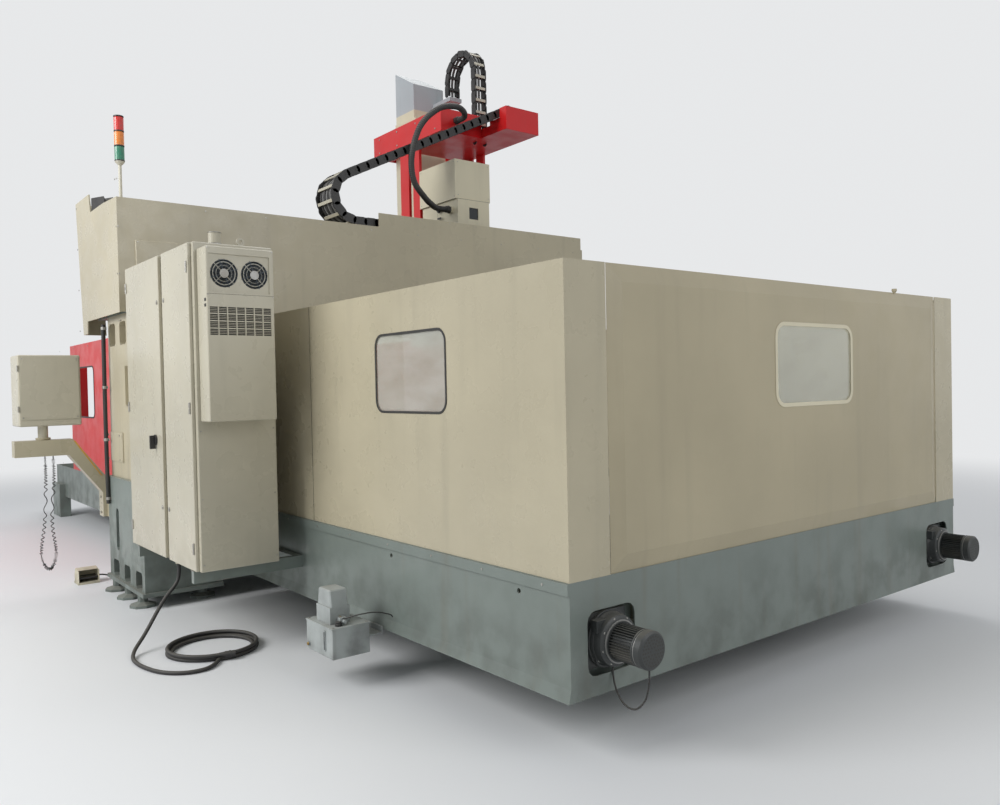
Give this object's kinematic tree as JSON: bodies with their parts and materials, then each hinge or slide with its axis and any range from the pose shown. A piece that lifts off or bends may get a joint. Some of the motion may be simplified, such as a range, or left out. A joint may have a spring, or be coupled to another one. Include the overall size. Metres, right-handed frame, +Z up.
{
  "type": "cnc machining center",
  "caption": "Double-column CNC machining centre with a travelling table, sheet guards, a control pendant, an electrical cabinet and cable chains.",
  "frame": {"origin": "the floor point under the middle levelling pad of the bed, midway between the columns", "axes": "+Z up, +X along the table travel towards the rear enclosure with the two gearmotors, +Y along the crossrail towards the right column"},
  "size_m": [9.7213, 5.17, 4.96],
  "materials": {
    "blue_grey_casting": "satin paint on a casting",
    "blue_grey_sheet": "satin powder coat on sheet",
    "beige_casting": "satin paint on a casting",
    "beige_sheet": "fine-textured powder coat on sheet",
    "cream_casting": "satin paint",
    "cream_sheet": "satin paint on sheet",
    "red_sheet": "satin powder coat on sheet",
    "bellows_fabric": "coated pleated fabric",
    "chain_plastic": "moulded, matt",
    "window_glass": "clear, with dust",
    "black_plastic": "moulded",
    "cream_plastic": "moulded",
    "lens_plastic": "translucent, red, orange and green lenses",
    "motor_casting": "dark painted casting",
    "bare_steel": "worn bare steel",
    "ground_steel": "ground",
    "cover_steel": "polished sheet",
    "grey_iron": "scraped and ground top",
    "black_rubber": "sheathing, matt",
    "foot_switch_casting": "grey paint on a casting"
  },
  "bodies": {
    "machine": {"bed": "blue_grey_casting", "left_column": "beige_casting", "right_column": "beige_casting", "crossrail": "blue_grey_casting", "crossrail_cover": "beige_sheet", "left_end_cover": "beige_sheet", "right_end_cover": "beige_sheet", "chain_tray": "beige_sheet", "left_bellows": "bellows_fabric", "right_bellows": "bellows_fabric", "rear_pan": "blue_grey_sheet", "front_pan": "blue_grey_sheet", "left_side_panel": "beige_sheet", "right_side_panel": "beige_sheet", "end_panel": "beige_sheet", "side_window": "window_glass", "end_window": "window_glass", "front_left_guard": "red_sheet", "front_right_guard": "red_sheet", "cabinet_stand": "blue_grey_sheet", "cabinet": "beige_sheet", "air_conditioner": "beige_sheet", "stack_light_pole": "cream_plastic", "stack_light_lenses": "lens_plastic", "lube_tank": "cream_plastic", "lube_pump": "cream_sheet", "left_gearmotor": "motor_casting", "right_gearmotor": "motor_casting", "rear_cover_fixed": "cover_steel", "front_cover_fixed": "cover_steel", "column_conduit": "black_rubber", "pendant_arm": "beige_sheet", "foot_switch": "foot_switch_casting", "power_cord": "black_rubber", "power_cord_coil": "black_rubber", "handwheel_cord": "black_rubber", "foot_switch_cord": "black_rubber"},
    "table": {"table": "grey_iron", "rear_cover_table": "cover_steel", "front_cover_table": "cover_steel"},
    "rear_cover_middle": {"rear_cover_middle": "cover_steel"},
    "front_cover_middle": {"front_cover_middle": "cover_steel"},
    "x_ball_screw": {"x_ball_screw": "ground_steel"},
    "saddle": {"saddle": "blue_grey_casting", "chain_platform": "red_sheet", "junction_box": "cream_sheet", "head_conduit": "black_rubber", "crossrail_cable_chain": "chain_plastic"},
    "ram": {"ram": "cream_casting", "ram_cable_chain": "chain_plastic"},
    "spindle": {"spindle": "ground_steel"},
    "left_chip_screw": {"left_chip_screw": "bare_steel"},
    "right_chip_screw": {"right_chip_screw": "bare_steel"},
    "left_condenser_fan": {"left_condenser_fan": "black_plastic"},
    "right_condenser_fan": {"right_condenser_fan": "black_plastic"},
    "near_cabinet_door": {"near_cabinet_door": "beige_sheet"},
    "far_cabinet_door": {"far_cabinet_door": "beige_sheet"},
    "main_switch": {"main_switch": "black_plastic"},
    "pendant": {"pendant": "beige_sheet"},
    "foot_pedal": {"foot_pedal": "black_plastic"}
  },
  "joints": [
    {"name": "table_slide", "type": "slide", "parent": "machine", "child": "table", "axis": [1, 0, 0], "range_m": [-1.3, 1.3]},
    {"name": "rear_cover_slide", "type": "slide", "parent": "machine", "child": "rear_cover_middle", "axis": [1, 0, 0], "range_m": [-0.65, 0.65]},
    {"name": "front_cover_slide", "type": "slide", "parent": "machine", "child": "front_cover_middle", "axis": [1, 0, 0], "range_m": [-0.65, 0.65]},
    {"name": "x_screw_spin", "type": "hinge", "parent": "machine", "child": "x_ball_screw", "pos_m": [0, 0, 0.62], "axis": [1, 0, 0], "continuous": true},
    {"name": "saddle_slide", "type": "slide", "parent": "machine", "child": "saddle", "axis": [0, 1, 0], "range_m": [-1.1, 0.18], "deforming": ["left_bellows", "right_bellows", "crossrail_cable_chain"]},
    {"name": "ram_slide", "type": "slide", "parent": "saddle", "child": "ram", "axis": [0, 0, 1], "range_m": [-0.7, 0], "deforming": ["ram_cable_chain"]},
    {"name": "spindle_spin", "type": "hinge", "parent": "ram", "child": "spindle", "pos_m": [-0.8425, 1.22, 1.95], "axis": [0, 0, 1], "continuous": true},
    {"name": "left_chip_screw_spin", "type": "hinge", "parent": "machine", "child": "left_chip_screw", "pos_m": [2.5, -1.44, 0.46], "axis": [1, 0, 0], "continuous": true},
    {"name": "right_chip_screw_spin", "type": "hinge", "parent": "machine", "child": "right_chip_screw", "pos_m": [2.5, 1.44, 0.46], "axis": [1, 0, 0], "continuous": true},
    {"name": "left_fan_spin", "type": "hinge", "parent": "machine", "child": "left_condenser_fan", "pos_m": [2.29815, -2.188, 2.15], "axis": [1, 0, 0], "continuous": true},
    {"name": "right_fan_spin", "type": "hinge", "parent": "machine", "child": "right_condenser_fan", "pos_m": [2.29815, -2.015, 2.15], "axis": [1, 0, 0], "continuous": true},
    {"name": "far_door_hinge", "type": "hinge", "parent": "machine", "child": "far_cabinet_door", "pos_m": [0.903, -2.3203, 1.4], "axis": [0, 0, -1], "range_deg": [0, 110]},
    {"name": "near_door_hinge", "type": "hinge", "parent": "machine", "child": "near_cabinet_door", "pos_m": [2.16, -2.3203, 1.4], "axis": [0, 0, 1], "range_deg": [0, 110]},
    {"name": "main_switch_turn", "type": "hinge", "parent": "far_cabinet_door", "child": "main_switch", "pos_m": [1.49, -2.3306, 1.21], "axis": [0, 1, 0], "range_deg": [0, 90]},
    {"name": "pendant_swivel", "type": "hinge", "parent": "machine", "child": "pendant", "pos_m": [-0.19, -2.66, 1.165], "axis": [0, 0, 1], "range_deg": [-90, 90]},
    {"name": "foot_pedal_hinge", "type": "hinge", "parent": "machine", "child": "foot_pedal", "pos_m": [-0.464, -2.34, 0.045], "axis": [0, 1, 0], "range_deg": [0, 8]}
  ],
  "couplings": [
    {"joint": "rear_cover_slide", "follows": "table_slide", "ratio": 0.5},
    {"joint": "front_cover_slide", "follows": "table_slide", "ratio": 0.5},
    {"joint": "x_screw_spin", "follows": "table_slide", "rad_per_m": 314.16},
    {"joint": "right_chip_screw_spin", "follows": "left_chip_screw_spin", "ratio": -1}
  ]
}
